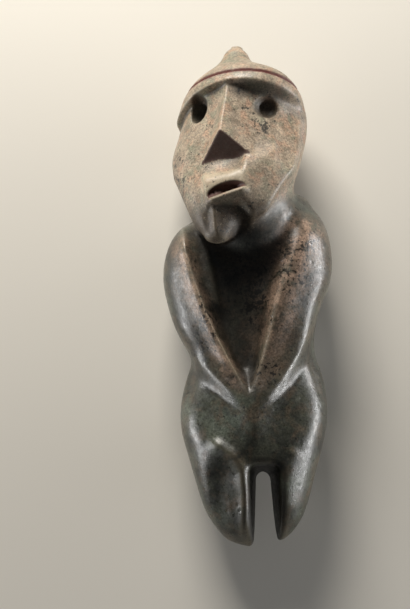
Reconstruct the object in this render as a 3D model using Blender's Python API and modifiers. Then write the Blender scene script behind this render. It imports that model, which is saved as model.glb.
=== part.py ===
"""A carved stone statuette of a standing person with a pointed cap, in one piece, lying on its back.

Its legs end in blunt points, so the real one can't stand: it lies, and a small flat on its back keeps it
from rolling. X runs to the figure's left, Y from the feet to the crown, and Z from the floor up to its front.

The carving is laid out in hundredths of the figure's height. Each form is a function that says how far a
point lies outside it, less than zero inside. A rough block of plain solids is remeshed, and its skin is then
ground down to those forms.
"""

import math

import bpy
import numpy as np
from mathutils import Euler, Matrix, Vector

# Driving sizes, in metres.
HEIGHT = 0.150  # from the tips of the legs to the point of the cap, along the floor
EYE_BORE = 0.0062  # width of the drilled eye sockets at the face
EYE_DEPTH = 0.0050  # how deep the drill went
LEG_SLOT = 0.0034  # width of the sawn slot between the legs, at the back
CAP_GROOVE_WIDTH = 0.0014  # the line incised round the edge of the cap
CAP_GROOVE_DEPTH = 0.0008
SKIN_GRAIN = 0.00045  # spacing of the finest points while carving
TRIANGLES = 9400  # of the finished solid
LINE_CARE = 1.0  # how much finer the solid stays along the line round the cap

SHARE = HEIGHT / 101.1  # the carver's own measure, about a hundredth of the height
REST_LEVEL = -0.35  # height the back is ground down to, in hundredths
REST_REACH = 0.06  # skin that is this little above it is ground flat as well
EYE_RADIUS = EYE_BORE / 2 / SHARE
EYE_SINK = EYE_DEPTH / SHARE
SLOT_HALF = LEG_SLOT / 2 / SHARE
GROOVE_HALF = CAP_GROOVE_WIDTH / 2 / SHARE
GROOVE_SINK = CAP_GROOVE_DEPTH / SHARE

# The head's own frame: u to its left, v up its height, w out of its face.
HEAD_CENTRE = (-2.0, 78.9, 12.4)
HEAD_TURN = Euler((math.radians(-11), math.radians(-18), math.radians(2.5)), "ZXY")

# Outlines of the trunk and legs, as (place along Y, value), all in hundredths.
TRUNK_RIGHT = (
    (-0.6, 0.4), (-0.2, -1.6), (0.4, -3.8), (1.4, -5.5), (3.0, -7.0), (6, -9.0), (12, -11.2),
    (18, -12.9), (22, -14.0), (26, -14.4), (30, -14.0), (34, -13.0), (37, -12.4), (40, -13.8),
    (44, -15.7), (48, -17.0), (53, -17.8), (58, -17.2), (62, -15.1), (65, -12.0), (68, -8.4),
    (70.5, -5.0), (72, 0.0),
)
TRUNK_LEFT = (
    (-0.6, 0.4), (-0.2, 3.2), (0.4, 5.2), (1.4, 6.8), (3.0, 8.4), (6, 10.2), (12, 12.0), (18, 13.6),
    (22, 14.5), (26, 15.0), (30, 14.8), (34, 14.1), (37, 13.1), (40, 12.7), (43, 12.8), (46, 13.3),
    (50, 14.7), (54, 15.7), (58, 15.9), (62, 15.2), (65, 13.9), (68, 11.8), (70.5, 8.0), (72, 0.0),
)
TRUNK_FRONT = (
    (-0.6, 6.5), (0.4, 9.6), (2, 12.0), (6, 14.6), (12, 17.2), (18, 18.8), (24, 19.6), (29, 19.6),
    (34, 18.8), (40, 19.6), (48, 21.2), (55, 21.6), (60, 21.0), (65, 18.6), (70, 13.6), (72, 9.5),
)
TRUNK_BACK = (
    (-0.6, 6.5), (0.4, 4.4), (2, 2.9), (6, 1.6), (12, 0.7), (18, -0.1), (23, -0.6), (28, -0.2),
    (34, 1.5), (40, 1.7), (46, 0.3), (52, -0.7), (58, -0.6), (64, 1.0), (69, 4.6), (72, 9.5),
)

# Outlines of the head, as (place along v, value).
HEAD_RIGHT = (
    (-22.6, -2.5), (-22.1, -3.9), (-20.8, -5.3), (-18.4, -7.2), (-15, -9.1), (-12, -10.6), (-9, -12.1),
    (-5, -14.2), (-1, -15.4), (3, -14.5), (6, -13.7), (9, -12.3), (11.5, -10.6), (13.5, -8.9),
    (15, -7.2), (16.4, -5.5), (18, -4.2), (19.4, -3.5), (20.6, -2.8), (21.4, -2.1), (21.8, -1.5),
    (21.9, -0.9),
)
HEAD_LEFT = (
    (-22.6, -2.5), (-22.1, -1.0), (-20.8, 0.9), (-18.4, 3.4), (-15, 6.0), (-12, 8.2), (-9, 9.7),
    (-5, 11.0), (-1, 12.0), (3, 12.7), (6, 12.9), (9, 12.5), (11.5, 11.8), (13.5, 10.5), (15, 8.5),
    (16.4, 5.3), (18, 2.7), (19.4, 1.7), (20.6, 1.0), (21.4, 0.3), (21.8, -0.3), (21.9, -0.9),
)
HEAD_FRONT = (
    (-22.6, 7.6), (-22.0, 8.8), (-20.6, 10.0), (-18, 11.1), (-15, 11.8), (-12, 11.9), (-9, 11.4),
    (-5, 10.7), (0, 10.6), (4, 10.7), (8, 11.2), (11, 11.4), (13.5, 10.2), (15.5, 8.2), (17.5, 6.0),
    (19.4, 4.7), (20.6, 3.9), (21.4, 3.1), (21.8, 2.4), (21.9, 1.7),
)
HEAD_BACK = (
    (-22.6, 7.6), (-22.0, 6.2), (-20.6, 3.6), (-17.4, -0.2), (-13, -4.8), (-9, -8.2), (-5, -10.4),
    (0, -11.4), (4, -11.6), (8, -11.0), (11, -9.6), (13.5, -7.4), (15.5, -5.0), (17.5, -2.8),
    (19.4, -1.2), (20.6, -0.4), (21.4, 0.3), (21.8, 1.0), (21.9, 1.7),
)


def lath(stations, at):
    """The height at the places asked of a thin lath bent through the stations: a natural cubic spline."""
    place, height = np.array(stations, float).T
    gap = np.diff(place)
    slope = np.diff(height) / gap
    system = np.eye(len(place))
    bend = np.zeros(len(place))
    for i in range(1, len(place) - 1):
        system[i, i - 1:i + 2] = gap[i - 1], 2 * (gap[i - 1] + gap[i]), gap[i]
        bend[i] = 6 * (slope[i] - slope[i - 1])
    bend = np.linalg.solve(system, bend)
    at = np.clip(at, place[0], place[-1])
    i = np.clip(np.searchsorted(place, at) - 1, 0, len(gap) - 1)
    before = (place[i + 1] - at) / gap[i]
    after = (at - place[i]) / gap[i]
    straight = before * height[i] + after * height[i + 1]
    curved = (before**3 - before) * bend[i] + (after**3 - after) * bend[i + 1]
    return straight + curved * gap[i] ** 2 / 6


def ramp(value, low, high):
    """0 below low, 1 above high, and an easy slope between them."""
    t = np.clip((value - low) / (high - low), 0, 1)
    return t * t * (3 - 2 * t)


def joined(a, b, blend):
    """Two forms run together, with a fillet about as wide as blend."""
    h = np.clip(blend - np.abs(a - b), 0, None) / blend
    return np.minimum(a, b) - h * h * blend / 4


def cut(a, cutter, blend):
    """The first form less the second, with the edges worn round."""
    return -joined(-a, cutter, blend)


def ellipsoid(x, y, z, centre, radii):
    """A stretched ball."""
    dx, dy, dz = x - centre[0], y - centre[1], z - centre[2]
    k0 = np.sqrt((dx / radii[0]) ** 2 + (dy / radii[1]) ** 2 + (dz / radii[2]) ** 2)
    k1 = np.sqrt((dx / radii[0] ** 2) ** 2 + (dy / radii[1] ** 2) ** 2 + (dz / radii[2] ** 2) ** 2)
    return k0 * (k0 - 1) / np.maximum(k1, 1e-6)


def rounded_section(x, z, low, high, back, front, power):
    """A form whose section is a rounded shape between two sides, a back and a front."""
    half_x = np.maximum((high - low) / 2, 0.05)
    half_z = np.maximum((front - back) / 2, 0.05)
    u = np.abs(x - (high + low) / 2) / half_x
    w = np.abs(z - (front + back) / 2) / half_z
    q = np.maximum((u**power + w**power) ** (1 / power), 1e-3)
    steep = q ** (1 - power) * np.sqrt((u ** (power - 1) / half_x) ** 2 + (w ** (power - 1) / half_z) ** 2)
    return (q - 1) / np.maximum(steep, 0.5 / np.maximum(half_x, half_z))


def along_path(x, y, path):
    """Distance from a line of points in the XY plane, and the share of the way along it."""
    best = np.full(np.shape(x), 1e9)
    share = np.zeros(np.shape(x))
    steps = len(path) - 1
    for i in range(steps):
        (ax, ay), (bx, by) = path[i], path[i + 1]
        dx, dy = bx - ax, by - ay
        t = np.clip(((x - ax) * dx + (y - ay) * dy) / (dx * dx + dy * dy), 0, 1)
        away = np.hypot(x - ax - t * dx, y - ay - t * dy)
        near = away < best
        best = np.where(near, away, best)
        share = np.where(near, (i + t) / steps, share)
    return best, share


def ridge(x, y, path, width, ends=0.15):
    """1 along a path, fading over its width and towards its two ends."""
    away, share = along_path(x, y, path)
    return np.exp(-((away / width) ** 2)) * ramp(share, 0, ends) * ramp(1 - share, 0, ends)


def trunk(x, y, z):
    """Shoulders, arms, belly, hips and legs, as one tapering block."""
    power = 2.2 + 0.3 * ramp(-z, -9, -3) + 0.5 * ramp(z, 10, 14) * ramp(y, 30, 42) * ramp(-y, -68, -60)
    sides = lath(TRUNK_RIGHT, y), lath(TRUNK_LEFT, y)
    form = rounded_section(x, z, *sides, lath(TRUNK_BACK, y), lath(TRUNK_FRONT, y), power)
    return np.maximum(form, np.maximum(TRUNK_RIGHT[0][0] - y, y - TRUNK_RIGHT[-1][0]))


# Lines carved on the front, each from the hands outwards, as (x, y).
RIGHT_CREST = (
    (-0.6, 28.0), (-4.2, 34.6), (-7.2, 40.2), (-9.6, 45.5), (-11.6, 51.0), (-13.2, 57.0), (-14.0, 63.0),
)
RIGHT_SECOND_CREST = ((-5.8, 43.5), (-7.2, 47.5), (-8.8, 55.5), (-9.8, 61.0))
LEFT_CREST = ((0.0, 29.0), (1.4, 33.6), (3.6, 40.8), (5.2, 47.0), (7.6, 53.6), (9.4, 60.5), (10.4, 66.0))
RIGHT_ELBOW = ((-0.8, 26.3), (-3.6, 28.6), (-7.4, 31.8), (-11.0, 35.4), (-14.5, 39.5), (-19.0, 45.0))
LEFT_ELBOW = ((-0.8, 26.3), (2.6, 28.4), (6.0, 31.7), (9.6, 37.2), (12.4, 43.5), (14.7, 49.0), (19.0, 56.0))
RIGHT_GROIN = ((-9.5, 20.0), (-6.4, 18.4), (-3.8, 16.4), (-2.2, 13.6), (-1.5, 9.0), (-1.7, 4.0), (-2.0, 0.0))
LEFT_GROIN = ((8.8, 18.5), (7.4, 15.5), (6.6, 11.0), (6.5, 5.0))


def across(line, y):
    """The x of a carved line at each y."""
    return np.interp(y, [p[1] for p in line], [p[0] for p in line])


def below(line, x, y):
    """How far each point lies under a carved line that runs outwards from the hands."""
    ordered = sorted(line)
    height = np.interp(x, [p[0] for p in ordered], [p[1] for p in ordered])
    return along_path(x, y, line)[0] * np.sign(height - y)


def chest(x, y):
    """Depth of the hollow between the arms: it starts with an edge at each arm and has an even floor."""
    from_right = (x - across(RIGHT_CREST, y)) / (2.4 + 3.4 * ramp(y, 36, 58))
    from_left = (across(LEFT_CREST, y) - x) / (2.6 + 4.4 * ramp(y, 32, 58))
    right_wall = 1 - (1 - np.clip(from_right, 0, 1)) ** 1.5
    left_wall = (1 - (1 - np.clip(from_left, 0, 1)) ** 1.4) * ramp(from_left, -0.15, 0.6)
    depth = (4.0 + 0.8 * ramp(y, 36, 46) - 2.2 * ramp(y, 54, 64)) * ramp(y, 27.5, 35)
    second = 1.0 * ridge(x, y, RIGHT_SECOND_CREST, 1.1, 0.35)
    return depth * joined(right_wall, left_wall, 0.3) - second


def torso_relief(x, y, z):
    """How much the front is sunk below the plain block by hollow and creases, less where it swells."""
    facing = ramp(z, 8, 13)
    crests = 0.9 * ridge(x + 0.5, y, RIGHT_CREST, 1.3) + 0.6 * ridge(x - 0.8, y, LEFT_CREST, 2.3)
    sunk = chest(x, y) - crests * (0.3 + 0.7 * ramp(y, 30, 38))
    for line, side in ((RIGHT_ELBOW, -1), (LEFT_ELBOW, 1)):
        under = below(line, x, y)
        depth = 1.8 * ramp(side * x, -1, 7)
        sunk = sunk + depth * ramp(under, -0.6, 2.2) * (1 - ramp(under, 2.8, 12))
        sunk = sunk - 0.15 * depth * np.exp(-(((under + 1.3) / 1.6) ** 2))
    sunk = sunk - 0.8 * ridge(x, y, RIGHT_GROIN, 1.3) - 0.3 * ridge(x, y, LEFT_GROIN, 1.6)
    sunk = sunk + 0.9 * np.exp(-(((x + 6.3) / 2.6) ** 2)) * ramp(-y, -17, -12) * ramp(y, 0, 4)
    sunk = sunk - 0.5 * np.exp(-((x - 0.4) / 2.4) ** 2 - ((y - 22.5) / 3.0) ** 2)
    return sunk * facing


def leg_slot(x, y, z):
    """The slot sawn from the front between the legs: it narrows towards the back and ends in an arch."""
    middle = 2.2 + 0.03 * (15 - y)
    half = SLOT_HALF + 0.1 * z + 0.045 * (15 - y)
    top = 15.0
    side = np.abs(x - middle) - half
    above = y - top
    corner = 1.6
    out = np.hypot(np.maximum(side + corner, 0), np.maximum(above + corner, 0))
    return out + np.minimum(np.maximum(side, above) + corner, 0) - corner


def body(x, y, z):
    """Everything below the neck."""
    form = trunk(x, y, z) + torso_relief(x, y, z)
    return cut(form, leg_slot(x, y, z), 1.8)


def head_frame(x, y, z):
    """The same points in the head's own frame."""
    to_head = np.array(HEAD_TURN.to_matrix().inverted())
    return to_head @ np.array([x - HEAD_CENTRE[0], y - HEAD_CENTRE[1], z - HEAD_CENTRE[2]])


def brow_line(u):
    """Height of the brow's lower edge: an arch, higher over the figure's left eye."""
    return 10.4 - 0.0165 * u**2 + 0.1 * u


def cap_line(u):
    """Height of the incised edge of the cap."""
    return 12.8 - 0.0136 * u**2 + 0.072 * u


def face_relief(u, v, w):
    """How much the face is sunk below the plain head, less where it swells: a keel stands out on the chin."""
    facing = ramp(w, -3, 3)
    under = brow_line(u) - v
    depth = 1.5 + 0.5 * ramp(u, 1, 5)
    sunk = depth * ramp(under, -0.3, 0.8 + 1.4 * ramp(u, 0, 5)) * (1 - ramp(under, 5, 13))
    keel = ramp(-v, 15.5, 17.0) * ramp(v, -22.5, -20)
    sunk = sunk - 0.5 * keel * np.exp(-(((u + 2.0) / 0.7) ** 2))
    sunk = sunk + 1.6 * ramp(-v, 14.9, 16.4) * ramp(v, -24.5, -21.5) * np.exp(-(((u - 1.9) / 2.4) ** 2))
    sunk = sunk + 0.3 * keel * np.exp(-(((u + 3.6) / 0.9) ** 2))
    return sunk * facing


def head(x, y, z):
    """The head with its cap and face, before the eyes and mouth are opened."""
    u, v, w = head_frame(x, y, z)
    power = 2.25 - 0.25 * ramp(w, -2, 4) * ramp(-v, -11, -7) + 0.35 * ramp(w, -2, 4) * ramp(-v, 5, 12)
    sides = lath(HEAD_RIGHT, v), lath(HEAD_LEFT, v)
    form = rounded_section(u, w, *sides, lath(HEAD_BACK, v), lath(HEAD_FRONT, v), power)
    form = form + face_relief(u, v, w)
    form = np.maximum(form, np.maximum(HEAD_RIGHT[0][0] - v, v - HEAD_RIGHT[-1][0]))
    form = joined(form, cheek(u, v, w), 1.2)
    form = joined(form, nose(u, v - 0.1 * u, w), 0.5 + 1.5 * ramp(v, -3, 6))
    form = joined(form, lips(u, v - 0.14 * u, w), 1.0 + 1.6 * ramp(u, 0, 5))
    along, above, _ = turned(x, y, z, *MOUTH_PLACE)
    lip = np.exp(-(((above + 0.85) / 0.6) ** 2)) * ramp(4.6 - np.abs(along), 0, 1.5)
    return form - 0.55 * lip * ramp(w, 9, 10)


def incised(points):
    """How deep the line round the edge of the cap goes at each point of the skin."""
    u, v, w = head_frame(*points.T)
    away = np.abs(v - cap_line(u)) / GROOVE_HALF
    return GROOVE_SINK * np.sqrt(np.clip(1 - away**2, 0, None)) * ramp(w, -5, -1)


def turned(x, y, z, centre, roll):
    """The same points as seen from a place on the face, turned by roll degrees."""
    u, v, w = head_frame(x, y, z) - np.reshape(centre, (3,) + (1,) * np.ndim(x))
    c, s = math.cos(math.radians(roll)), math.sin(math.radians(roll))
    return c * u + s * v, c * v - s * u, w


def mouth(x, y, z):
    """The open mouth: an arch over a straight lower lip, fuller to the figure's right."""
    u, v, w = turned(x, y, z, *MOUTH_PLACE)
    return np.maximum(ellipsoid(u + 0.3 * v, v, w, (0, 0, 0), MOUTH_RADII), -0.15 - v)


def facet(v, w, start, end):
    """Distance in front of a flat cut across the face, whose edge runs down from start to end, as (v, w)."""
    fall, out = start[0] - end[0], end[1] - start[1]
    return ((v - end[0]) * out + (w - end[1]) * fall) / math.hypot(fall, out)


def within(faces, blend):
    """The solid behind all the faces given, with its edges worn round."""
    form = faces[0]
    for face in faces[1:]:
        form = -joined(-form, -face, blend)
    return form


NOSE_ROOT = (9.8, 10.6)
NOSE_TIP = (-1.7, 15.0)
NOSE_FOOT = (-6.8, 9.8)
LIP_TOP = ((-6.8, 9.8), (-10.6, 13.3))
LIP_FRONT = ((-10.6, 13.3), (-15.2, 12.8))
LIP_UNDER = ((-15.3, 12.8), (-16.4, 10.6))
EYES = (  # as (centre, radii, roll) in the head's frame
    ((-6.9, 6.3, 8.8), (EYE_RADIUS, EYE_RADIUS * 1.35, EYE_SINK + 1.2), -14),
    ((7.3, 5.8, 8.6), (EYE_RADIUS * 1.18, EYE_RADIUS * 1.18, EYE_SINK + 1.2), 0),
)
MOUTH_PLACE = ((1.0, -13.7, 13.4), 15.5)
MOUTH_RADII = (4.0, 1.75, 3.0)
MOUTH_START = ((0.9, -12.95, 13.4), (3.4, 0.75, 2.6), 15.5)  # a drilled start for the mouth


def cheek(u, v, w):
    """The flat left cheek, which ends at the jaw with an edge."""
    face = (w + 0.75 * (u - 4.2) + 0.36 * (v + 6.8) - 11.3) / math.hypot(1, 0.75, 0.36)
    jowl = (w + 0.75 * (u - 3.6) - 0.22 * (v + 9) - 12.7) / math.hypot(1, 0.75, 0.22)
    side = u - 0.29 * (w - 3) - 13.2 - 0.2 * np.minimum(v + 1.5, 0)
    jaw = (u - 0.3 * (w - 6) - 13.8 - 0.82 * (v + 6.7)) / math.hypot(1, 0.82)
    chin = (u - 0.3 * (w - 9) - 7.2 - 1.8 * (v + 16.8)) / math.hypot(1, 1.8)
    inner = (3.6 - u + 0.6 * (w - 10) + 0.5 * np.maximum(-v - 14.5, 0)) / math.hypot(1, 0.6)
    return within((within((face, jowl, side, jaw, chin, -w, v - 5), 1.0), inner), 0.6 + ramp(-v, 13, 16))


def nose(u, v, w):
    """A wedge with a sharp ridge from the brow to the tip, and a flat triangle below it."""
    out = (NOSE_TIP[1] - NOSE_ROOT[1]) / (NOSE_ROOT[0] - NOSE_TIP[0])
    ridge_w = NOSE_ROOT[1] + (NOSE_ROOT[0] - v) * out
    slope = 1.3
    sides = (w - ridge_w + slope * (np.hypot(u, 0.3) - 0.3)) / math.hypot(1, slope)
    underside = -facet(v, w, NOSE_FOOT, NOSE_TIP)
    ends = NOSE_FOOT[0] - 0.6 - v, v - NOSE_ROOT[0] - 0.6
    return within((sides, underside, 5 - w, np.abs(u) - 5, *ends), 0.25)


def lips(u, v, w):
    """A block that stands out below the nose with flat faces, whose left side runs into the cheek."""
    right = (-u + 0.3 * (w - 11) - 4.6 - 0.12 * (v + 10)) / math.hypot(1, 0.3)
    left = (u + 1.1 * (w - 12.6) - 4.3 - 0.12 * (v + 10)) / math.hypot(1, 1.1)
    fronts = [facet(v, w, *edges) for edges in (LIP_TOP, LIP_FRONT, LIP_UNDER)]
    block = within((*fronts, right, 8.0 - w), 0.7)
    return cut(block, -left, 1.6)


def neck(x, y, z):
    """The short thick neck behind the chin."""
    pillar = ellipsoid(x, y, z, (-0.6, 66.5, 12.8), (8.2, 10.0, 9.8))
    return joined(pillar, ellipsoid(x, y, z, (0.0, 63.0, 14.8), (9.0, 9.5, 7.5)), 3)


def blank(points):
    """How far each point lies outside the statuette before its eyes and mouth are opened."""
    x, y, z = points.T
    form = joined(body(x, y, z), neck(x, y, z), 3.0)
    return joined(form, head(x, y, z), 1.6 + 1.5 * ramp(x, -3, 3))


def figure(points):
    """How far each point lies outside the statuette, in hundredths of its height."""
    form = blank(points)
    for centre, radii, roll in EYES:
        form = cut(form, ellipsoid(*turned(*points.T, centre, roll), (0, 0, 0), radii), 0.5)
    return cut(form, mouth(*points.T), 0.35)


def slope_of(form, points):
    """The form's steepest slope at each point."""
    step = 0.02
    return np.stack(
        [(form(points + offset) - form(points - offset)) / (2 * step) for offset in np.eye(3) * step], axis=1
    )


def grind(points, form, rounds, reach):
    """Moves the points towards the form's skin along its steepest slope, no further than reach at a time."""
    for _ in range(rounds):
        slope = slope_of(form, points)
        move = slope * (form(points) / np.maximum((slope**2).sum(axis=1), 0.05))[:, None]
        size = np.linalg.norm(move, axis=1)
        points = points - move * (np.minimum(size, reach) / np.maximum(size, 1e-9))[:, None]
    return points


def mesh_points(mesh):
    """A mesh's points, in hundredths of the height."""
    flat = np.empty(len(mesh.vertices) * 3, np.float32)
    mesh.vertices.foreach_get("co", flat)
    return flat.reshape(-1, 3).astype(float) / SHARE


def set_points(mesh, points):
    """Puts points given in hundredths of the height into a mesh."""
    mesh.vertices.foreach_set("co", (points * SHARE).astype(np.float32).ravel())
    mesh.update()


def with_modifier(obj, kind, **settings):
    """The object's mesh as one modifier leaves it."""
    modifier = obj.modifiers.new(kind.title(), kind)
    for name, value in settings.items():
        setattr(modifier, name, value)
    evaluated = obj.evaluated_get(bpy.context.evaluated_depsgraph_get())
    made = bpy.data.meshes.new_from_object(evaluated)
    obj.modifiers.remove(modifier)
    old, obj.data = obj.data, made
    bpy.data.meshes.remove(old)


def ball(name, centre, radii, turn):
    """A stretched ball, given in hundredths of the height."""
    bpy.ops.mesh.primitive_uv_sphere_add(radius=1, segments=48, ring_count=32)
    made = bpy.context.object
    made.name = name
    made.location = Vector(centre) * SHARE
    made.scale = Vector(radii) * SHARE
    made.rotation_euler = turn.to_euler()
    bpy.ops.object.transform_apply(location=True, rotation=True, scale=True)
    return made


def rough_block():
    """The block before carving: balls for the head, the neck, the trunk and the two legs, in one object."""
    straight = Matrix.Identity(3)
    balls = [
        ball("rough_head", HEAD_CENTRE, (11.5, 19, 10.5), HEAD_TURN.to_matrix()),
        ball("rough_face", (-5.5, 74, 20.5), (7.5, 15, 8.5), HEAD_TURN.to_matrix()),
        ball("rough_cap", (-3.6, 96.5, 11), (5, 5, 5), straight),
        ball("rough_neck", (-0.6, 66, 12), (9.5, 11, 9.5), straight),
        ball("rough_chest", (-1, 52, 10.5), (15, 18, 9), straight),
        ball("rough_hips", (0.5, 29, 10), (13, 14, 9), straight),
        ball("rough_right_leg", (-6.6, 11, 8.5), (4.4, 12, 6.5), straight),
        ball("rough_left_leg", (8.6, 11, 8.5), (4.0, 11, 6.5), straight),
    ]
    for made in balls:
        made.select_set(True)
    bpy.context.view_layer.objects.active = balls[0]
    bpy.ops.object.join()
    return bpy.context.object


def carve(block, form, passes):
    """Grinds the block to the form, pass by pass: (grain, rounds)."""
    for grain, rounds in passes:
        with_modifier(block, "REMESH", mode="VOXEL", voxel_size=grain)
        set_points(block.data, grind(mesh_points(block.data), form, rounds, 0.5))


def bore(block, centre, radii, roll):
    """Takes one ball-shaped hollow out of the face."""
    turn = HEAD_TURN.to_matrix()
    rolled = turn @ Matrix.Rotation(math.radians(roll), 3, "Z")
    drill = ball("drill", Vector(HEAD_CENTRE) + turn @ Vector(centre), radii, rolled)
    with_modifier(block, "BOOLEAN", object=drill, operation="DIFFERENCE", solver="EXACT")
    bpy.data.objects.remove(drill)


def settle(points):
    """Lays the figure on the ground: the parts of its back that would dip below it are ground flat."""
    points[:, 2] = np.where(points[:, 2] < REST_LEVEL + REST_REACH, REST_LEVEL, points[:, 2])
    return points


def stone():
    """A mottled olive and brown stone, polished."""
    material = bpy.data.materials.new("polished_stone")
    material.use_nodes = True
    shader = material.node_tree.nodes["Principled BSDF"]
    shader.inputs["Base Color"].default_value = (0.125, 0.105, 0.072, 1)
    shader.inputs["Roughness"].default_value = 0.32
    return material


def main():
    for old in list(bpy.data.objects):
        bpy.data.objects.remove(old)
    statuette = rough_block()
    carve(statuette, blank, [(4 * SKIN_GRAIN, 2)] * 8 + [(2 * SKIN_GRAIN, 3)] * 2)
    for centre, radii, roll in (*EYES, MOUTH_START):
        bore(statuette, centre, radii, roll)
    carve(statuette, figure, [(2 * SKIN_GRAIN, 2), (SKIN_GRAIN, 2), (SKIN_GRAIN, 3)])
    skin = mesh_points(statuette.data)
    outward = slope_of(figure, skin)
    outward /= np.linalg.norm(outward, axis=1)[:, None]
    set_points(statuette.data, settle(skin - outward * incised(skin)[:, None]))

    kept = statuette.vertex_groups.new(name="cap_line")
    kept.add(np.flatnonzero(incised(skin) > 0).tolist(), 1, "REPLACE")
    ratio = TRIANGLES / (2 * len(statuette.data.polygons))
    with_modifier(
        statuette, "DECIMATE", ratio=ratio, use_collapse_triangulate=True,
        vertex_group=kept.name, invert_vertex_group=True, vertex_group_factor=LINE_CARE,
    )
    statuette.vertex_groups.clear()
    skin = settle(mesh_points(statuette.data))
    middle = (skin.min(axis=0) + skin.max(axis=0)) / 2
    set_points(statuette.data, skin - (middle[0], middle[1], skin[:, 2].min()))
    statuette.name = statuette.data.name = "statuette"
    statuette.data.materials.clear()
    statuette.data.materials.append(stone())
    group = bpy.data.collections.new("statuette")
    bpy.context.scene.collection.children.link(group)
    for old in list(statuette.users_collection):
        old.objects.unlink(statuette)
    group.objects.link(statuette)


main()
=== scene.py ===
import math

import bpy
import numpy as np
from mathutils import Euler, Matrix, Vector, noise


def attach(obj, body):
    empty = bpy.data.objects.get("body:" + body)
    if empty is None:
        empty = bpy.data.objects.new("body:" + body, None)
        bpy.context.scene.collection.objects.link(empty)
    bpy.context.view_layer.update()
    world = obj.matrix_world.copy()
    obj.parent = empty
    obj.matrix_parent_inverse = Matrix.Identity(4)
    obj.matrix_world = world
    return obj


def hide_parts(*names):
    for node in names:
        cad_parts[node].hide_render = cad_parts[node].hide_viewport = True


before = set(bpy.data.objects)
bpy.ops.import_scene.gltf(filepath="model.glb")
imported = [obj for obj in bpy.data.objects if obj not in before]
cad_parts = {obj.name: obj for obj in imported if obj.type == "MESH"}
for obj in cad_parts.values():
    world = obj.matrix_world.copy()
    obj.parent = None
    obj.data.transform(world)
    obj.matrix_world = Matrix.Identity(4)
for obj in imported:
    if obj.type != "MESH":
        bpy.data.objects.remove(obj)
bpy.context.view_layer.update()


# The trunk, arms and legs.
# One block of stone ground to rounded shoulders, hips and legs. The arms are left standing by a deep V sunk
# between them, with a crease under each forearm. All places are in hundredths of the figure's height.
HEIGHT = 0.150  # metres
DRAWN_HEIGHT = 101.1  # from the tips of the legs to the tip of the cap, as the outlines are drawn
HUNDREDTH = HEIGHT / DRAWN_HEIGHT
REST_LEVEL = -0.35  # height the back is ground down to

# The outline of the block, as (height, place): its sides by x, and its front and back by z.
TRUNK_RIGHT = (
    (-0.6, 0.4), (-0.2, -1.6), (0.4, -3.8), (1.4, -5.5), (3.0, -7.0), (6, -9.0), (12, -11.2),
    (18, -12.9), (22, -14.0), (26, -14.4), (30, -14.0), (34, -13.0), (37, -12.4), (40, -13.8),
    (44, -15.7), (48, -17.0), (53, -17.8), (58, -17.2), (62, -15.1), (65, -12.0), (68, -8.4),
    (70.5, -5.0), (72, 0.0),
)
TRUNK_LEFT = (
    (-0.6, 0.4), (-0.2, 3.2), (0.4, 5.2), (1.4, 6.8), (3.0, 8.4), (6, 10.2), (12, 12.0), (18, 13.6),
    (22, 14.5), (26, 15.0), (30, 14.8), (34, 14.1), (37, 13.1), (40, 12.7), (43, 12.8), (46, 13.3),
    (50, 14.7), (54, 15.7), (58, 15.9), (62, 15.2), (65, 13.9), (68, 11.8), (70.5, 8.0), (72, 0.0),
)
TRUNK_FRONT = (
    (-0.6, 6.5), (0.4, 9.6), (2, 12.0), (6, 14.6), (12, 17.2), (18, 18.8), (24, 19.6), (29, 19.6),
    (34, 18.8), (40, 19.6), (48, 21.2), (55, 21.6), (60, 21.0), (65, 18.6), (70, 13.6), (72, 9.5),
)
TRUNK_BACK = (
    (-0.6, 6.5), (0.4, 4.4), (2, 2.9), (6, 1.6), (12, 0.7), (18, -0.1), (23, -0.6), (28, -0.2),
    (34, 1.5), (40, 1.7), (46, 0.3), (52, -0.7), (58, -0.6), (64, 1.0), (69, 4.6), (72, 9.5),
)


def lath(stations, at):
    """The height at the places asked of a thin lath bent through the stations: a natural cubic spline."""
    place, height = np.array(stations, float).T
    gap = np.diff(place)
    slope = np.diff(height) / gap
    system = np.eye(len(place))
    bend = np.zeros(len(place))
    for i in range(1, len(place) - 1):
        system[i, i - 1:i + 2] = gap[i - 1], 2 * (gap[i - 1] + gap[i]), gap[i]
        bend[i] = 6 * (slope[i] - slope[i - 1])
    bend = np.linalg.solve(system, bend)
    at = np.clip(at, place[0], place[-1])
    i = np.clip(np.searchsorted(place, at) - 1, 0, len(gap) - 1)
    before = (place[i + 1] - at) / gap[i]
    after = (at - place[i]) / gap[i]
    straight = before * height[i] + after * height[i + 1]
    curved = (before**3 - before) * bend[i] + (after**3 - after) * bend[i + 1]
    return straight + curved * gap[i] ** 2 / 6


def ramp(value, low, high):
    """0 below low, 1 above high, and an easy slope between them."""
    t = np.clip((value - low) / (high - low), 0, 1)
    return t * t * (3 - 2 * t)


def joined(a, b, blend):
    """Two forms run together, with a fillet about as wide as blend."""
    h = np.clip(blend - np.abs(a - b), 0, None) / blend
    return np.minimum(a, b) - h * h * blend / 4


def cut(a, cutter, blend):
    """The first form less the second, with the edges worn round."""
    return -joined(-a, cutter, blend)


def ellipsoid(x, y, z, centre, radii):
    """A stretched ball."""
    dx, dy, dz = x - centre[0], y - centre[1], z - centre[2]
    k0 = np.sqrt((dx / radii[0]) ** 2 + (dy / radii[1]) ** 2 + (dz / radii[2]) ** 2)
    k1 = np.sqrt((dx / radii[0] ** 2) ** 2 + (dy / radii[1] ** 2) ** 2 + (dz / radii[2] ** 2) ** 2)
    return k0 * (k0 - 1) / np.maximum(k1, 1e-6)


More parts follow.
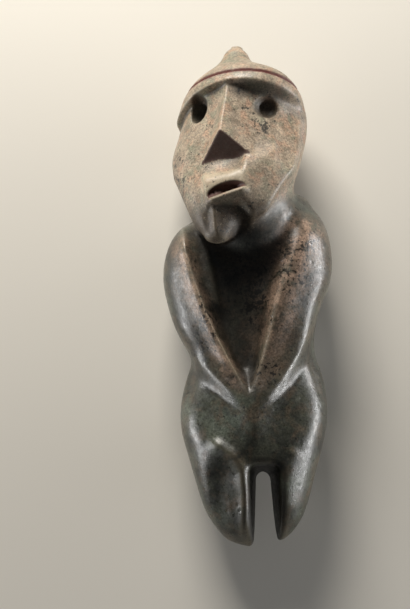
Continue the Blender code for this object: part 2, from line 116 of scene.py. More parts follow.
def rounded_section(x, z, low, high, back, front, power):
    """A form whose section is a rounded shape between two sides, a back and a front."""
    half_x = np.maximum((high - low) / 2, 0.05)
    half_z = np.maximum((front - back) / 2, 0.05)
    u = np.abs(x - (high + low) / 2) / half_x
    w = np.abs(z - (front + back) / 2) / half_z
    q = np.maximum((u**power + w**power) ** (1 / power), 1e-3)
    steep = q ** (1 - power) * np.sqrt((u ** (power - 1) / half_x) ** 2 + (w ** (power - 1) / half_z) ** 2)
    return (q - 1) / np.maximum(steep, 0.5 / np.maximum(half_x, half_z))


def along_path(x, y, path):
    """Distance from a line of points in the XY plane, and the share of the way along it."""
    best = np.full(np.shape(x), 1e9)
    share = np.zeros(np.shape(x))
    steps = len(path) - 1
    for i in range(steps):
        (ax, ay), (bx, by) = path[i], path[i + 1]
        dx, dy = bx - ax, by - ay
        t = np.clip(((x - ax) * dx + (y - ay) * dy) / (dx * dx + dy * dy), 0, 1)
        away = np.hypot(x - ax - t * dx, y - ay - t * dy)
        near = away < best
        best = np.where(near, away, best)
        share = np.where(near, (i + t) / steps, share)
    return best, share


def ridge(x, y, path, width, ends=0.15):
    """1 along a path, fading over its width and towards its two ends."""
    away, share = along_path(x, y, path)
    return np.exp(-((away / width) ** 2)) * ramp(share, 0, ends) * ramp(1 - share, 0, ends)


def trunk(x, y, z):
    """Shoulders, arms, belly, hips and legs, as one tapering block."""
    power = 2.2 + 0.3 * ramp(-z, -9, -3) + 0.5 * ramp(z, 10, 14) * ramp(y, 30, 42) * ramp(-y, -68, -60)
    sides = lath(TRUNK_RIGHT, y), lath(TRUNK_LEFT, y)
    form = rounded_section(x, z, *sides, lath(TRUNK_BACK, y), lath(TRUNK_FRONT, y), power)
    return np.maximum(form, np.maximum(TRUNK_RIGHT[0][0] - y, y - TRUNK_RIGHT[-1][0]))


# Lines carved on the front, each from the hands outwards, as (x, y).
RIGHT_CREST = (
    (-0.6, 28.0), (-4.2, 34.6), (-7.2, 40.2), (-9.6, 45.5), (-11.6, 51.0), (-13.2, 57.0), (-14.0, 63.0),
)
RIGHT_SECOND_CREST = ((-5.8, 43.5), (-7.2, 47.5), (-8.8, 55.5), (-9.8, 61.0))
LEFT_CREST = ((0.0, 29.0), (1.4, 33.6), (3.6, 40.8), (5.2, 47.0), (7.6, 53.6), (9.4, 60.5), (10.4, 66.0))
RIGHT_ELBOW = ((-0.8, 26.3), (-3.6, 28.6), (-7.4, 31.8), (-11.0, 35.4), (-14.5, 39.5), (-19.0, 45.0))
LEFT_ELBOW = ((-0.8, 26.3), (2.6, 28.4), (6.0, 31.7), (9.6, 37.2), (12.4, 43.5), (14.7, 49.0), (19.0, 56.0))
RIGHT_GROIN = ((-9.5, 20.0), (-6.4, 18.4), (-3.8, 16.4), (-2.2, 13.6), (-1.5, 9.0), (-1.7, 4.0), (-2.0, 0.0))
LEFT_GROIN = ((8.8, 18.5), (7.4, 15.5), (6.6, 11.0), (6.5, 5.0))


def across(line, y):
    """The x of a carved line at each y."""
    return np.interp(y, [p[1] for p in line], [p[0] for p in line])


def below(line, x, y):
    """How far each point lies under a carved line that runs outwards from the hands."""
    ordered = sorted(line)
    height = np.interp(x, [p[0] for p in ordered], [p[1] for p in ordered])
    return along_path(x, y, line)[0] * np.sign(height - y)


def chest(x, y):
    """Depth of the hollow between the arms: it starts with an edge at each arm and has an even floor."""
    from_right = (x - across(RIGHT_CREST, y)) / (2.4 + 3.4 * ramp(y, 36, 58))
    from_left = (across(LEFT_CREST, y) - x) / (2.6 + 4.4 * ramp(y, 32, 58))
    right_wall = 1 - (1 - np.clip(from_right, 0, 1)) ** 1.5
    left_wall = (1 - (1 - np.clip(from_left, 0, 1)) ** 1.4) * ramp(from_left, -0.15, 0.6)
    depth = (4.0 + 0.8 * ramp(y, 36, 46) - 2.2 * ramp(y, 54, 64)) * ramp(y, 27.5, 35)
    second = 1.0 * ridge(x, y, RIGHT_SECOND_CREST, 1.1, 0.35)
    return depth * joined(right_wall, left_wall, 0.3) - second


def torso_relief(x, y, z):
    """How much the front is sunk below the plain block by hollow and creases, less where it swells."""
    facing = ramp(z, 8, 13)
    crests = 0.9 * ridge(x + 0.5, y, RIGHT_CREST, 1.3) + 0.6 * ridge(x - 0.8, y, LEFT_CREST, 2.3)
    sunk = chest(x, y) - crests * (0.3 + 0.7 * ramp(y, 30, 38))
    for line, side in ((RIGHT_ELBOW, -1), (LEFT_ELBOW, 1)):
        under = below(line, x, y)
        depth = 1.8 * ramp(side * x, -1, 7)
        sunk = sunk + depth * ramp(under, -0.6, 2.2) * (1 - ramp(under, 2.8, 12))
        sunk = sunk - 0.15 * depth * np.exp(-(((under + 1.3) / 1.6) ** 2))
    sunk = sunk - 0.8 * ridge(x, y, RIGHT_GROIN, 1.3) - 0.3 * ridge(x, y, LEFT_GROIN, 1.6)
    sunk = sunk + 0.9 * np.exp(-(((x + 6.3) / 2.6) ** 2)) * ramp(-y, -17, -12) * ramp(y, 0, 4)
    sunk = sunk - 0.5 * np.exp(-((x - 0.4) / 2.4) ** 2 - ((y - 22.5) / 3.0) ** 2)
    return sunk * facing


# The legs are parted by one saw cut from the front, which narrows towards the back.
SLOT_HALF = 0.0034 / 2 / HUNDREDTH
FORK = 15.0  # height at which the legs part


def leg_slot(x, y, z):
    """The slot sawn from the front between the legs: it narrows towards the back and ends in an arch."""
    middle = 2.2 + 0.03 * (FORK - y)
    half = SLOT_HALF + 0.1 * z + 0.045 * (FORK - y)
    side = np.abs(x - middle) - half
    above = y - FORK
    corner = 1.6
    out = np.hypot(np.maximum(side + corner, 0), np.maximum(above + corner, 0))
    return out + np.minimum(np.maximum(side, above) + corner, 0) - corner


def body(x, y, z):
    """Everything below the neck."""
    form = trunk(x, y, z) + torso_relief(x, y, z)
    return cut(form, leg_slot(x, y, z), 1.8)


# The head and cap.
# The head is turned to the figure's right and leans back. The cap rises to a blunt point, and its edge is one
# line cut with a flake. The face is a sunk plane under a brow, with a wedge for a nose and a block for lips.
HEAD_CENTRE = (-2.0, 78.9, 12.4)
LEAN, TURN, TIP = math.radians(-11), math.radians(-18), math.radians(2.5)
HEAD_TURN = Euler((LEAN, TURN, TIP), "ZXY")

# The outline of the head, as (v, place) in its own frame: its sides by u, and its front and back by w.
HEAD_RIGHT = (
    (-22.6, -2.5), (-22.1, -3.9), (-20.8, -5.3), (-18.4, -7.2), (-15, -9.1), (-12, -10.6), (-9, -12.1),
    (-5, -14.2), (-1, -15.4), (3, -14.5), (6, -13.7), (9, -12.3), (11.5, -10.6), (13.5, -8.9),
    (15, -7.2), (16.4, -5.5), (18, -4.2), (19.4, -3.5), (20.6, -2.8), (21.4, -2.1), (21.8, -1.5),
    (21.9, -0.9),
)
HEAD_LEFT = (
    (-22.6, -2.5), (-22.1, -1.0), (-20.8, 0.9), (-18.4, 3.4), (-15, 6.0), (-12, 8.2), (-9, 9.7),
    (-5, 11.0), (-1, 12.0), (3, 12.7), (6, 12.9), (9, 12.5), (11.5, 11.8), (13.5, 10.5), (15, 8.5),
    (16.4, 5.3), (18, 2.7), (19.4, 1.7), (20.6, 1.0), (21.4, 0.3), (21.8, -0.3), (21.9, -0.9),
)
HEAD_FRONT = (
    (-22.6, 7.6), (-22.0, 8.8), (-20.6, 10.0), (-18, 11.1), (-15, 11.8), (-12, 11.9), (-9, 11.4),
    (-5, 10.7), (0, 10.6), (4, 10.7), (8, 11.2), (11, 11.4), (13.5, 10.2), (15.5, 8.2), (17.5, 6.0),
    (19.4, 4.7), (20.6, 3.9), (21.4, 3.1), (21.8, 2.4), (21.9, 1.7),
)
HEAD_BACK = (
    (-22.6, 7.6), (-22.0, 6.2), (-20.6, 3.6), (-17.4, -0.2), (-13, -4.8), (-9, -8.2), (-5, -10.4),
    (0, -11.4), (4, -11.6), (8, -11.0), (11, -9.6), (13.5, -7.4), (15.5, -5.0), (17.5, -2.8),
    (19.4, -1.2), (20.6, -0.4), (21.4, 0.3), (21.8, 1.0), (21.9, 1.7),
)
CAP_LINE_HALF = 0.0012 / 2 / HUNDREDTH
CAP_LINE_SINK = 0.0007 / HUNDREDTH

# The corners of the nose and the faces of the block of lips, as (v, w).
NOSE_ROOT = (9.8, 10.6)
NOSE_TIP = (-1.7, 15.0)
NOSE_FOOT = (-6.8, 9.8)
LIP_TOP = ((-6.8, 9.8), (-10.6, 13.3))
LIP_FRONT = ((-10.6, 13.3), (-15.2, 12.8))
LIP_UNDER = ((-15.3, 12.8), (-16.4, 10.6))

MOUTH_PLACE = ((1.0, -13.7, 13.4), 15.5)  # the mouth's centre in the head's frame, and its roll in degrees


def head_frame(x, y, z):
    """The same points in the head's own frame: u to its left, v up its height, w out of its face."""
    to_head = np.array(HEAD_TURN.to_matrix().inverted())
    return to_head @ np.array([x - HEAD_CENTRE[0], y - HEAD_CENTRE[1], z - HEAD_CENTRE[2]])


def brow_line(u):
    """Height of the brow's lower edge: an arch, higher over the figure's left eye."""
    return 10.4 - 0.0165 * u**2 + 0.1 * u


def cap_line(u):
    """Height of the incised edge of the cap."""
    return 12.8 - 0.0136 * u**2 + 0.072 * u


def face_relief(u, v, w):
    """How much the face is sunk below the plain head, less where it swells: a keel stands out on the chin."""
    facing = ramp(w, -3, 3)
    under = brow_line(u) - v
    depth = 1.5 + 0.5 * ramp(u, 1, 5)
    sunk = depth * ramp(under, -0.3, 0.8 + 1.4 * ramp(u, 0, 5)) * (1 - ramp(under, 5, 13))
    keel = ramp(-v, 15.5, 17.0) * ramp(v, -22.5, -20)
    sunk = sunk - 0.5 * keel * np.exp(-(((u + 2.0) / 0.7) ** 2))
    sunk = sunk + 1.6 * ramp(-v, 14.9, 16.4) * ramp(v, -24.5, -21.5) * np.exp(-(((u - 1.9) / 2.4) ** 2))
    sunk = sunk + 0.3 * keel * np.exp(-(((u + 3.6) / 0.9) ** 2))
    return sunk * facing


def turned(x, y, z, centre, roll):
    """The same points as seen from a place on the face, turned by roll degrees."""
    u, v, w = head_frame(x, y, z) - np.reshape(centre, (3,) + (1,) * np.ndim(x))
    c, s = math.cos(math.radians(roll)), math.sin(math.radians(roll))
    return c * u + s * v, c * v - s * u, w


def facet(v, w, start, end):
    """Distance in front of a flat cut across the face, whose edge runs down from start to end, as (v, w)."""
    fall, out = start[0] - end[0], end[1] - start[1]
    return ((v - end[0]) * out + (w - end[1]) * fall) / math.hypot(fall, out)


def within(faces, blend):
    """The solid behind all the faces given, with its edges worn round."""
    form = faces[0]
    for face in faces[1:]:
        form = -joined(-form, -face, blend)
    return form


def cheek(u, v, w):
    """The flat left cheek, which ends at the jaw with an edge."""
    face = (w + 0.75 * (u - 4.2) + 0.36 * (v + 6.8) - 11.3) / math.hypot(1, 0.75, 0.36)
    jowl = (w + 0.75 * (u - 3.6) - 0.22 * (v + 9) - 12.7) / math.hypot(1, 0.75, 0.22)
    side = u - 0.29 * (w - 3) - 13.2 - 0.2 * np.minimum(v + 1.5, 0)
    jaw = (u - 0.3 * (w - 6) - 13.8 - 0.82 * (v + 6.7)) / math.hypot(1, 0.82)
    chin = (u - 0.3 * (w - 9) - 7.2 - 1.8 * (v + 16.8)) / math.hypot(1, 1.8)
    inner = (3.6 - u + 0.6 * (w - 10) + 0.5 * np.maximum(-v - 14.5, 0)) / math.hypot(1, 0.6)
    return within((within((face, jowl, side, jaw, chin, -w, v - 5), 1.0), inner), 0.6 + ramp(-v, 13, 16))


def nose(u, v, w):
    """A wedge with a sharp ridge from the brow to the tip, and a flat triangle below it."""
    out = (NOSE_TIP[1] - NOSE_ROOT[1]) / (NOSE_ROOT[0] - NOSE_TIP[0])
    ridge_w = NOSE_ROOT[1] + (NOSE_ROOT[0] - v) * out
    slope = 1.3
    sides = (w - ridge_w + slope * (np.hypot(u, 0.3) - 0.3)) / math.hypot(1, slope)
    underside = -facet(v, w, NOSE_FOOT, NOSE_TIP)
    ends = NOSE_FOOT[0] - 0.6 - v, v - NOSE_ROOT[0] - 0.6
    return within((sides, underside, 5 - w, np.abs(u) - 5, *ends), 0.25)


def lips(u, v, w):
    """A block that stands out below the nose with flat faces, whose left side runs into the cheek."""
    right = (-u + 0.3 * (w - 11) - 4.6 - 0.12 * (v + 10)) / math.hypot(1, 0.3)
    left = (u + 1.1 * (w - 12.6) - 4.3 - 0.12 * (v + 10)) / math.hypot(1, 1.1)
    fronts = [facet(v, w, *edges) for edges in (LIP_TOP, LIP_FRONT, LIP_UNDER)]
    block = within((*fronts, right, 8.0 - w), 0.7)
    return cut(block, -left, 1.6)


def head(x, y, z):
    """The head with its cap and face, before the eyes and mouth are opened."""
    u, v, w = head_frame(x, y, z)
    power = 2.25 - 0.25 * ramp(w, -2, 4) * ramp(-v, -11, -7) + 0.35 * ramp(w, -2, 4) * ramp(-v, 5, 12)
    sides = lath(HEAD_RIGHT, v), lath(HEAD_LEFT, v)
    form = rounded_section(u, w, *sides, lath(HEAD_BACK, v), lath(HEAD_FRONT, v), power)
    form = form + face_relief(u, v, w)
    form = np.maximum(form, np.maximum(HEAD_RIGHT[0][0] - v, v - HEAD_RIGHT[-1][0]))
    form = joined(form, cheek(u, v, w), 1.2)
    form = joined(form, nose(u, v - 0.1 * u, w), 0.5 + 1.5 * ramp(v, -3, 6))
    form = joined(form, lips(u, v - 0.14 * u, w), 1.0 + 1.6 * ramp(u, 0, 5))
    along, above, _ = turned(x, y, z, *MOUTH_PLACE)
    lip = np.exp(-(((above + 0.85) / 0.6) ** 2)) * ramp(4.6 - np.abs(along), 0, 1.5)
    return form - 0.55 * lip * ramp(w, 9, 10)


def incised(points):
    """How deep the line round the edge of the cap goes at each point of the skin."""
    u, v, w = head_frame(*points.T)
    away = np.abs(v - cap_line(u)) / CAP_LINE_HALF
    return CAP_LINE_SINK * np.sqrt(np.clip(1 - away**2, 0, None)) * ramp(w, -5, -1)


# The eyes and the mouth.
# Each eye is a socket worn out with a drill and sand. The mouth is a slit opened under the upper lip.
EYE_RADIUS = 0.0062 / 2 / HUNDREDTH
EYE_SINK = 0.0050 / HUNDREDTH
EYES = (  # as (centre, radii, roll) in the head's frame
    ((-6.9, 6.3, 8.8), (EYE_RADIUS, EYE_RADIUS * 1.35, EYE_SINK + 1.2), -14),
    ((7.3, 5.8, 8.6), (EYE_RADIUS * 1.18, EYE_RADIUS * 1.18, EYE_SINK + 1.2), 0),
)
MOUTH_RADII = (4.0, 1.75, 3.0)


def mouth(x, y, z):
    """The open mouth: an arch over a straight lower lip, fuller to the figure's right."""
    u, v, w = turned(x, y, z, *MOUTH_PLACE)
    return np.maximum(ellipsoid(u + 0.3 * v, v, w, (0, 0, 0), MOUTH_RADII), -0.15 - v)


# The neck and the whole figure.
# A short thick neck carries the head. All of it is one stone, so the forms run into each other with wide
# fillets. The eyes and the mouth are cut last, with sharper edges.
def neck(x, y, z):
    """The short thick neck behind the chin."""
    pillar = ellipsoid(x, y, z, (-0.6, 66.5, 12.8), (8.2, 10.0, 9.8))
    return joined(pillar, ellipsoid(x, y, z, (0.0, 63.0, 14.8), (9.0, 9.5, 7.5)), 3)


def figure(points):
    """How far each point lies outside the statuette, in hundredths of its height."""
    x, y, z = points.T
    form = joined(body(x, y, z), neck(x, y, z), 3.0)
    form = joined(form, head(x, y, z), 1.6 + 1.5 * ramp(x, -3, 3))
    for centre, radii, roll in EYES:
        form = cut(form, ellipsoid(*turned(x, y, z, centre, roll), (0, 0, 0), radii), 0.5)
    return cut(form, mouth(x, y, z), 0.35)


# The skin.
# The solid's own surface is laid out again with points a third of a millimetre apart and ground to the same
# forms. The line of the cap, a few pits and the low waves left by grinding by hand are cut into it.
ORIGIN = np.array((-0.910, 50.222, -0.35))  # the carving's place that is the frame's own origin
GRAIN = 0.00033  # metres between the points
TRIANGLES = 190000
GRINDING_WAVES = ((0.045, 7.0, 1), (0.018, 2.2, 2), (0.010, 0.7, 3))  # as (height, width, seed)
PIT_DEPTH = 0.05


def slope_of(form, points):
    """The form's steepest slope at each point."""
    step = 0.02
    return np.stack(
        [(form(points + offset) - form(points - offset)) / (2 * step) for offset in np.eye(3) * step], axis=1
    )


def grind(points, form, rounds, reach):
    """Moves the points towards the form's skin along its steepest slope, no further than reach at a time."""
    for _ in range(rounds):
        slope = slope_of(form, points)
        move = slope * (form(points) / np.maximum((slope**2).sum(axis=1), 0.05))[:, None]
        size = np.linalg.norm(move, axis=1)
        points = points - move * (np.minimum(size, reach) / np.maximum(size, 1e-9))[:, None]
    return points


def mesh_points(mesh):
    """A mesh's points, as places in the carving."""
    flat = np.empty(len(mesh.vertices) * 3, np.float32)
    mesh.vertices.foreach_get("co", flat)
    return flat.reshape(-1, 3).astype(float) / HUNDREDTH + ORIGIN


def set_points(mesh, points):
    """Puts places in the carving into a mesh."""
    mesh.vertices.foreach_set("co", ((points - ORIGIN) * HUNDREDTH).astype(np.float32).ravel())
    mesh.update()


def with_modifier(obj, kind, **settings):
    """The object's mesh as one modifier leaves it."""
    modifier = obj.modifiers.new(kind.title(), kind)
    for name, value in settings.items():
        setattr(modifier, name, value)
    evaluated = obj.evaluated_get(bpy.context.evaluated_depsgraph_get())
    made = bpy.data.meshes.new_from_object(evaluated)
    obj.modifiers.remove(modifier)
    old, obj.data = obj.data, made
    bpy.data.meshes.remove(old)


def waves(points, width, seed):
    """Smooth noise from -1 to 1 at each point, with bumps about as wide as width."""
    shift = Vector((seed * 7.3, seed * 3.1, seed * 5.7))
    return np.array([noise.noise(Vector(p) + shift) for p in points / width])


def pits(points, spacing, radius, share, seed):
    """1 at the middle of a pit and 0 away from all of them: one pit in some of the cells."""
    found = np.zeros(len(points))
    shift = Vector((seed * 11.9, seed * 2.3, seed * 6.1))
    for i, p in enumerate(points / spacing):
        distances, places = noise.voronoi(Vector(p) + shift)
        if noise.cell(places[0] * 31.7) < share:
            found[i] = max(0.0, 1 - (distances[0] * spacing / radius) ** 2)
    return found


figure_piece = bpy.data.objects.new("carved_figure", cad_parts["statuette"].data.copy())
bpy.context.scene.collection.objects.link(figure_piece)
for grain, rounds in ((2 * GRAIN, 2), (GRAIN, 3)):
    with_modifier(figure_piece, "REMESH", mode="VOXEL", voxel_size=grain)
    set_points(figure_piece.data, grind(mesh_points(figure_piece.data), figure, rounds, reach=0.5))

skin = mesh_points(figure_piece.data)
outward = slope_of(figure, skin)
outward /= np.maximum(np.linalg.norm(outward, axis=1), 1e-6)[:, None]
relief = sum(height * waves(skin, width, seed) for height, width, seed in GRINDING_WAVES)
relief -= PIT_DEPTH * pits(skin, spacing=2.6, radius=0.5, share=0.07, seed=1)
skin = skin + outward * (relief - incised(skin))[:, None]
skin[:, 2] = np.maximum(skin[:, 2], REST_LEVEL)
set_points(figure_piece.data, skin)
with_modifier(
    figure_piece, "DECIMATE", use_collapse_triangulate=True,
    ratio=min(1.0, TRIANGLES / (2 * len(figure_piece.data.polygons))),
)
figure_piece.data.shade_smooth()
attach(figure_piece, "root")
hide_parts("statuette")


# What the stone is like from place to place, as numbers on the points of the skin: how far each point stands
# out or lies in a hollow, with painted light on the top of the upper lip, where the head is and where its jaw
# is painted darker as shade, where the stone is warm in colour, where black mineral gathers and where red
# earth stays. Recesses are drawn dark and dull, partly for the dirt in them and partly as painted shade,
# because soft light leaves them lighter than they look on the real one.
def keep_on_points(mesh, name, values):
    """Stores one number for each point of the mesh."""
    kept = mesh.attributes.new(name, "FLOAT", "POINT")
    kept.data.foreach_set("value", np.clip(values, 0, 1).astype(np.float32))


def spots(points, places):
    """1 in the middle of each place given as (x, y, half width, half height), fading outwards; front only."""
    x, y, z = points.T
    total = np.zeros(len(points))
    for px, py, half_x, half_y in places:
        total += np.exp(-(((x - px) / half_x) ** 2) - ((y - py) / half_y) ** 2) * ramp(z, 6, 11)
    return total


skin = mesh_points(figure_piece.data)
around = np.zeros(len(skin))
for offset in np.concatenate([np.eye(3), -np.eye(3)]) * 0.9:
    around += figure(skin + offset) / 6
u, v, w = head_frame(*skin.T)
# The top of the upper lip counts as standing out further, so it is drawn paler: painted light where it faces
# the light from above.
painted_light_on_lip = ramp(-v, 8.5, 10) * ramp(v, -13.5, -12.5) * ramp(5.5 - np.abs(u), 0, 2) * ramp(w, 9, 11)
keep_on_points(figure_piece.data, "crest", 0.5 + 0.6 * around + 0.5 * painted_light_on_lip)

in_head = 1 - ramp(head(*skin.T), 0.3, 2.2)
keep_on_points(figure_piece.data, "head", in_head)
# The lower face is painted darker towards the chin and jaw: painted shade where the face turns down away from
# the light.
keep_on_points(figure_piece.data, "jaw", 0.9 * ramp(-v, 11.5, 18.5) * ramp(w, 0, 4) * (1 - painted_light_on_lip))
# Dirt and painted shade: the chest hollow, the slot between the legs, the eye sockets, under the brow, under
# the nose and the mouth are drawn dark, partly for dirt and partly as painted shade.
sunk = 0.55 * ramp(torso_relief(*skin.T), 1.2, 4.2) * ramp(skin[:, 1], 24, 30)
in_slot = ramp(-leg_slot(*skin.T), -0.9, 0.2) * ramp(19 - skin[:, 2], 0.5, 5)
in_eyes = np.zeros(len(skin))
for centre, radii, roll in EYES:
    in_eyes += ramp(-ellipsoid(*turned(*skin.T, centre, roll), (0, 0, 0), radii), -0.35, 0.2)
under_brow = brow_line(u) - v
brow_shade = 0.75 * ramp(under_brow, -0.4, 0.8) * (1 - ramp(under_brow, 1.8, 4.2))
brow_shade = brow_shade * ramp(w, 2, 6) * ramp(u, -1, 2.5)
under_nose = (np.abs(facet(v - 0.1 * u, w, NOSE_FOOT, NOSE_TIP)) < 0.25) & (np.abs(u) < 5)
in_mouth = ramp(-mouth(*skin.T), -0.25, 0.05)
# Painted shade on the spot where the forearms meet, which also dulls a highlight there.
painted_shade_between_hands = spots(skin, ((-0.5, 34.0, 1.6, 4.5),))
dirt_and_shade_mask = np.maximum.reduce([
    sunk * (1 - in_head), in_slot, in_eyes, brow_shade, under_nose, in_mouth, painted_shade_between_hands,
])
keep_on_points(figure_piece.data, "dirt_and_painted_shade", 0.85 * dirt_and_shade_mask)

left_tan = ridge(skin[:, 0], skin[:, 1], LEFT_CREST, 4.2, 0.1)
right_tan = ridge(skin[:, 0] + 0.6, skin[:, 1], RIGHT_CREST, 1.8, 0.2)
left_tan = left_tan * (0.3 + 0.7 * ramp(skin[:, 1], 32, 46))
tan = 0.85 * left_tan + 0.9 * right_tan
keep_on_points(figure_piece.data, "warmth", tan * ramp(skin[:, 2], 8, 12))

FLECKS = (  # where the black mineral gathers, as (x, y, half width, half height)
    (-1.5, 56, 4.5, 6.5), (-0.5, 50, 3.0, 5.0), (6.5, 54.5, 1.2, 5.5), (-9.5, 43.0, 3.0, 4.5),
    (2.5, 33.0, 3.0, 3.2), (11.0, 58.5, 2.2, 3.5), (10.0, 52.0, 2.2, 2.5), (7.6, 46.5, 1.0, 1.6),
    (0.5, 46.0, 2.0, 4.0), (-12.0, 37.0, 2.5, 2.0), (-17.0, 76.0, 2.5, 4.0), (-14.5, 70.0, 1.5, 3.5),
    (-2.5, 90.0, 2.0, 1.4), (1.8, 82.0, 1.6, 1.8), (-1.5, 85.5, 1.2, 1.4),
)
keep_on_points(figure_piece.data, "flecks", spots(skin, FLECKS))

# Red earth stays in the cap's line and the mouth; under the nose the red earth is partly real and partly
# painted shade.
line = 1.3 * np.exp(-(((v - cap_line(u)) / (1.2 * CAP_LINE_HALF)) ** 2)) * ramp(w, -5, -1)
keep_on_points(figure_piece.data, "residue", line + 0.6 * in_mouth + 0.35 * under_nose)


# The stone.
# Serpentine, a hard mottled stone: olive and brown-grey, with tan patches, black specks of iron ore and a
# polish got by rubbing with fine sand. It gleams on the arms and thighs and is duller on the face.
def linear(code):
    """A colour written as sRGB hex, in linear values."""
    channels = [int(code[i:i + 2], 16) / 255 for i in (1, 3, 5)]
    return [c / 12.92 if c <= 0.04045 else ((c + 0.055) / 1.055) ** 2.4 for c in channels] + [1.0]


def add(tree, kind, settings=(), links=()):
    """Adds one node, with settings for its properties or sockets, and links that feed its inputs."""
    node = tree.nodes.new(kind)
    for name, value in dict(settings).items():
        if isinstance(name, str) and hasattr(node, name):
            setattr(node, name, value)
        else:
            node.inputs[name].default_value = value
    for name, source in dict(links).items():
        tree.links.new(source, node.inputs[name])
    return node


serpentine = bpy.data.materials.new("polished_serpentine")
serpentine.use_nodes = True
tree = serpentine.node_tree
tree.nodes.clear()
place = add(tree, "ShaderNodeTexCoord").outputs["Object"]
amount = {}
for name in ("crest", "head", "jaw", "warmth", "flecks", "residue", "dirt_and_painted_shade"):
    amount[name] = add(tree, "ShaderNodeAttribute", {"attribute_name": name}).outputs["Fac"]

# The noises that the pattern of the stone is made of: size of the features in millimetres, detail, the band
# of the noise that is used and the range that it is spread over. Each is moved aside, so that no two match.
# The two kinds of grain are finer in the real stone than a pixel of the picture, and are drawn about three
# times as coarse.
for name, size, detail, low, high, least, most in (
    ("clouds", 7, 6, 0.33, 0.67, 0, 1),
    ("pale", 15, 5, 0.53, 0.74, 0, 0.5),
    ("brown", 5, 5, 0.48, 0.66, 0, 0.6),
    ("tan", 3.5, 6, 0.36, 0.60, 0.1, 1),
    ("face_clouds", 3.5, 6, 0.34, 0.66, 0, 1),
    ("face_green", 6, 6, 0.49, 0.64, 0, 0.75),
    ("face_pink", 4, 6, 0.51, 0.64, 0, 0.6),
    ("grain", 0.55, 2, 0.34, 0.66, 0.60, 1.38),
    ("pale_grain", 0.8, 2, 0.60, 0.70, 0, 0.3),
    ("speck", 1.1, 5, 0, 1, 0, 1),
    ("speck_groups", 5, 3, 0.35, 0.65, -0.04, 0.07),
    ("residue_break", 1.6, 4, 0.25, 0.50, 0.55, 1),
    ("polish", 1.6, 5, 0.32, 0.68, 0.24, 0.44),
):
    moved = add(tree, "ShaderNodeVectorMath", {"operation": "ADD", 1: [0.13 * len(amount)] * 3}, {0: place})
    pattern = add(
        tree, "ShaderNodeTexNoise",
        {"Scale": 1000 / size, "Detail": detail, "Roughness": 0.62, "Distortion": 0.4 if size > 2 else 0.0},
        {"Vector": moved.outputs[0]},
    )
    amount[name] = add(
        tree, "ShaderNodeMapRange", {"From Min": low, "From Max": high, "To Min": least, "To Max": most},
        {"Value": pattern.outputs["Fac"]},
    ).outputs["Result"]

# Amounts that come from how far the surface stands out (paler wear on the crests, and dirt and painted shade
# in the hollows), and amounts that are two others multiplied.
for name, low, high, most in (("worn", 0.515, 0.95, 0.5), ("hollow_dirt_and_shade", 0.48, 0.33, 0.6)):
    amount[name] = add(
        tree, "ShaderNodeMapRange", {"From Min": low, "From Max": high, "To Min": 0, "To Max": most},
        {"Value": amount["crest"]},
    ).outputs["Result"]
for name, first, second in (
    ("warm", "warmth", "tan"), ("head_grain", "head", "pale_grain"), ("red", "residue", "residue_break"),
):
    amount[name] = add(
        tree, "ShaderNodeMath", {"operation": "MULTIPLY"}, {0: amount[first], 1: amount[second]},
    ).outputs[0]

# Black specks of iron ore: they lie where the speck noise is high, helped where they gather.
speck_level = add(
    tree, "ShaderNodeMath", {"operation": "MULTIPLY_ADD", 1: 0.13}, {0: amount["flecks"], 2: amount["speck"]},
)
speck_level = add(
    tree, "ShaderNodeMath", {"operation": "ADD"}, {0: speck_level.outputs[0], 1: amount["speck_groups"]},
)
amount["black"] = add(
    tree, "ShaderNodeMapRange", {"From Min": 0.645, "From Max": 0.69, "To Min": 0, "To Max": 0.9},
    {"Value": speck_level.outputs[0]},
).outputs["Result"]

# The colours, laid one over the other: first those of the body, then those of the head, which is of the
# browner end of the pebble, and then what both of them share.
UNDER, OVER, MIXED = 6, 7, 2  # a Mix node's two colour sockets, and the one that it gives out
olive = add(tree, "ShaderNodeRGB").outputs[0]
olive.default_value = linear("#191a16")
body = olive
for name, code in (("clouds", "#3c3d33"), ("pale", "#666e62"), ("brown", "#504335"), ("warm", "#9b8270")):
    body = add(
        tree, "ShaderNodeMix", {"data_type": "RGBA", OVER: linear(code)}, {0: amount[name], UNDER: body},
    ).outputs[MIXED]
umber = add(tree, "ShaderNodeRGB").outputs[0]
umber.default_value = linear("#685c4d")
face = umber
# The jaw's dark brown is painted shade on the lower face.
for name, code in (
    ("face_clouds", "#968774"), ("face_green", "#686a58"), ("face_pink", "#97765f"), ("jaw", "#382d20"),
):
    face = add(
        tree, "ShaderNodeMix", {"data_type": "RGBA", OVER: linear(code)}, {0: amount[name], UNDER: face},
    ).outputs[MIXED]
colour = add(
    tree, "ShaderNodeMix", {"data_type": "RGBA"}, {0: amount["head"], UNDER: body, OVER: face},
).outputs[MIXED]
colour = add(
    tree, "ShaderNodeMix", {"data_type": "RGBA", "blend_type": "MULTIPLY", 0: 1.0},
    {UNDER: colour, OVER: amount["grain"]},
).outputs[MIXED]
# Over both: pale grain on the head, paler wear on the crests, dirt and painted shade in the hollows and
# recesses, black specks of iron ore and red earth.
for name, code in (
    ("head_grain", "#c0b49c"), ("worn", "#b0a48c"), ("hollow_dirt_and_shade", "#1f1b14"), ("dirt_and_painted_shade", "#17150f"),
    ("black", "#100f0c"), ("red", "#50190e"),
):
    colour = add(
        tree, "ShaderNodeMix", {"data_type": "RGBA", OVER: linear(code)}, {0: amount[name], UNDER: colour},
    ).outputs[MIXED]

# The head is duller than the body, and hollows where no polishing stone could reach are duller still.
unreached = add(
    tree, "ShaderNodeMath", {"operation": "MAXIMUM"}, {0: amount["red"], 1: amount["dirt_and_painted_shade"]},
).outputs[0]
roughness = amount["polish"]
for source, factor in ((amount["head"], 0.15), (amount["jaw"], 0.12), (unreached, 0.25)):
    roughness = add(
        tree, "ShaderNodeMath", {"operation": "MULTIPLY_ADD", 1: factor}, {0: source, 2: roughness},
    ).outputs[0]

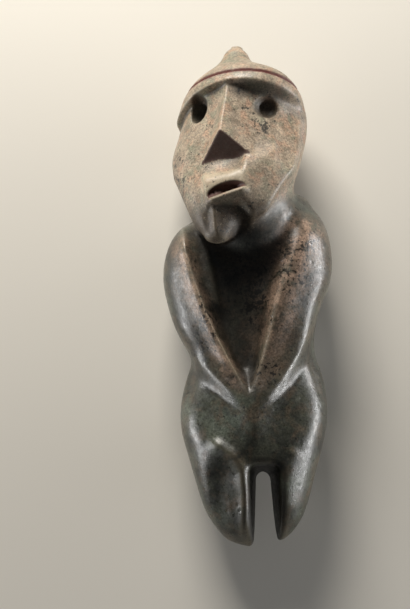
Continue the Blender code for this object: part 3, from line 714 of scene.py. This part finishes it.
# What the sand has left of the stone's grain, in features of 0.6 mm: too fine for the mesh, so it is bump.
fine_pattern = add(
    tree, "ShaderNodeTexNoise", {"Scale": 1000 / 0.6, "Detail": 4, "Roughness": 0.7}, {"Vector": place},
)
fine_relief = add(
    tree, "ShaderNodeBump", {"Strength": 0.5, "Distance": 0.0001}, {"Height": fine_pattern.outputs["Fac"]},
)
shader = add(
    tree, "ShaderNodeBsdfPrincipled", {"IOR": 1.56},
    {"Base Color": colour, "Roughness": roughness, "Normal": fine_relief.outputs["Normal"]},
)
add(tree, "ShaderNodeOutputMaterial", (), {"Surface": shader.outputs[0]})
figure_piece.data.materials.clear()
figure_piece.data.materials.append(serpentine)


# The floor, the light and the camera.
# A plain pale floor. Two long low soft boxes graze the figure's sides and one over its head lights the face.
# The camera looks down on the lying figure, tipped eight degrees towards its feet as in the photograph.
bpy.ops.mesh.primitive_circle_add(vertices=96, radius=6, fill_type="NGON")
floor = bpy.context.object
floor.name = "floor"
paper = bpy.data.materials.new("matt_paper")
paper.use_nodes = True
paper.node_tree.nodes["Principled BSDF"].inputs["Base Color"].default_value = linear("#d9d5cc")
paper.node_tree.nodes["Principled BSDF"].inputs["Roughness"].default_value = 0.9
floor.data.materials.append(paper)

FACE = Vector((-0.002, 0.042, 0.030))
BELLY = Vector((0.0, 0.0, 0.015))


def soft_box(name, at, width, height, power, aim, tint="#ffffff"):
    """A soft box, wide and high in metres, that faces a point of the figure."""
    data = bpy.data.lights.new(name, "AREA")
    data.shape = "RECTANGLE"
    data.size = width
    data.size_y = height
    data.energy = power
    data.color = linear(tint)[:3]
    box = bpy.data.objects.new(name, data)
    box.location = at
    box.rotation_mode = "QUATERNION"
    box.rotation_quaternion = (Vector(at) - aim).to_track_quat("Z", "Y")
    bpy.context.scene.collection.objects.link(box)


soft_box("head_box", (-0.10, 0.40, 0.22), 0.22, 0.20, 3.4, FACE, "#fffaf2")
soft_box("left_strip", (0.42, -0.01, 0.032), 0.46, 0.03, 2.3, BELLY)
soft_box("right_strip", (-0.42, -0.06, 0.032), 0.30, 0.03, 1.4, BELLY)
world = bpy.data.worlds.new("studio")
bpy.context.scene.world = world
world.use_nodes = True
world.node_tree.nodes["Background"].inputs["Color"].default_value = linear("#e6e9ee")
world.node_tree.nodes["Background"].inputs["Strength"].default_value = 0.07

PICTURE_WIDTH, PICTURE_HEIGHT = 410, 609
FIGURE_PIXELS = 498  # height of the figure in the photograph
PIXEL = 100 * HUNDREDTH / FIGURE_PIXELS  # metres of the figure that one pixel of the photograph shows
SENSOR = 36  # millimetres along the picture's longer side
TILT = math.radians(8)
DISTANCE = 0.9
BELLY_PIXEL = (252, 296)  # where the photograph shows the belly point
sight = Vector((0, -math.sin(TILT), math.cos(TILT)))
picture_up = Vector((0, math.cos(TILT), math.sin(TILT)))
belly_point = Vector((0.00131, -0.00089, 0.01486))
lens = bpy.data.cameras.new("camera")
lens.sensor_width = SENSOR
lens.lens = SENSOR * DISTANCE / (PICTURE_HEIGHT * PIXEL)
camera = bpy.data.objects.new("camera", lens)
camera.location = belly_point + sight * DISTANCE
camera.location += picture_up * (BELLY_PIXEL[1] - PICTURE_HEIGHT / 2) * PIXEL
camera.location.x -= (BELLY_PIXEL[0] - PICTURE_WIDTH / 2) * PIXEL
camera.rotation_mode = "QUATERNION"
camera.rotation_quaternion = sight.to_track_quat("Z", "Y")
bpy.context.scene.collection.objects.link(camera)
bpy.context.scene.camera = camera
bpy.context.scene.view_settings.view_transform = "Standard"
